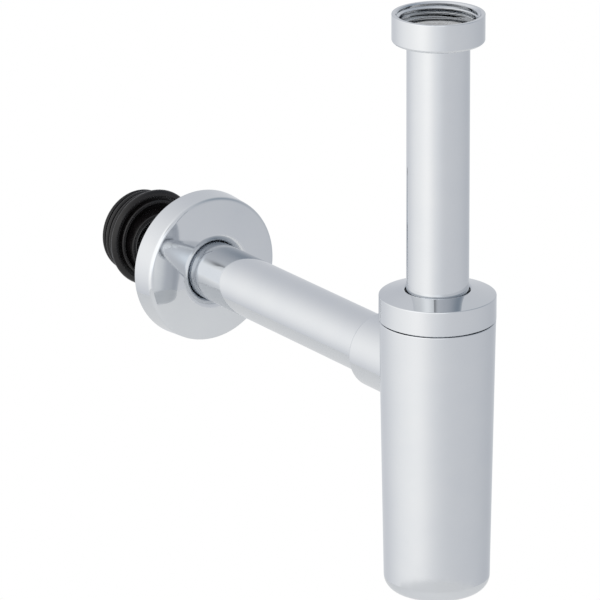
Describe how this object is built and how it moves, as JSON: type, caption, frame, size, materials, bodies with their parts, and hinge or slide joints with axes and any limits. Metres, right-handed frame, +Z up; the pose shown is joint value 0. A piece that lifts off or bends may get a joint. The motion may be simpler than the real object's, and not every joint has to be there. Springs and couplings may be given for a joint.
{
  "type": "bottle trap",
  "caption": "Chrome washbasin bottle trap with a tubular inlet, screwed cap, side outlet pipe, sliding wall rosette and ribbed rubber wall seal.",
  "frame": {"origin": "centre of the gasket face inside the coupling nut, where the basin waste comes down on the trap", "axes": "+Z up along the inlet pipe and the bottle, +Y along the outlet pipe towards the wall"},
  "size_m": [0.0818, 0.317, 0.3075],
  "materials": {
    "chrome_brass": "polished chrome plate on brass",
    "chrome_plastic": "polished chrome plate on moulded plastic",
    "fibre_gasket": "matt pale sealing ring",
    "black_rubber": "moulded black rubber, slightly glossy",
    "inner_plastic": "moulded white plastic"
  },
  "bodies": {
    "inlet": {"inlet_pipe": "chrome_brass", "inlet_gasket": "fibre_gasket"},
    "nut": {"coupling_nut": "chrome_brass"},
    "seal": {"pipe_seal": "black_rubber"},
    "bottle": {"bottle_body": "chrome_plastic", "dip_tube": "inner_plastic", "body_gasket": "black_rubber", "socket_seal": "black_rubber"},
    "slip": {"slip_ring": "inner_plastic"},
    "cap": {"head_cap": "chrome_plastic"},
    "outlet": {"outlet_pipe": "chrome_brass"},
    "rosette": {"wall_rosette": "chrome_brass", "rosette_grip_ring": "black_rubber"},
    "wall_sleeve": {"wall_seal": "black_rubber"}
  },
  "joints": [
    {"name": "nut_turn", "type": "hinge", "parent": "inlet", "child": "nut", "pos_m": [0, 0, 0], "axis": [0, 0, 1], "continuous": true},
    {"name": "height_slide", "type": "slide", "parent": "inlet", "child": "seal", "axis": [0, 0, 1], "range_m": [-0.025, 0.055]},
    {"name": "bottle_turn", "type": "hinge", "parent": "seal", "child": "bottle", "pos_m": [0, 0, -0.1827], "axis": [0, 0, 1], "continuous": true},
    {"name": "cap_lift", "type": "slide", "parent": "bottle", "child": "slip", "axis": [0, 0, 1], "range_m": [0, 0.005]},
    {"name": "cap_turn", "type": "hinge", "parent": "slip", "child": "cap", "pos_m": [0, 0, -0.145], "axis": [0, 0, 1], "range_deg": [0, 720]},
    {"name": "outlet_slide", "type": "slide", "parent": "bottle", "child": "outlet", "axis": [0, 1, 0], "range_m": [0, 0.012]},
    {"name": "rosette_slide", "type": "slide", "parent": "outlet", "child": "rosette", "axis": [0, 1, 0], "range_m": [-0.152, 0.034]},
    {"name": "seal_slide", "type": "slide", "parent": "outlet", "child": "wall_sleeve", "axis": [0, 1, 0], "range_m": [-0.01, 0.012]}
  ],
  "couplings": [
    {"joint": "cap_lift", "follows": "cap_turn", "m_per_rad": 0.00039789}
  ]
}
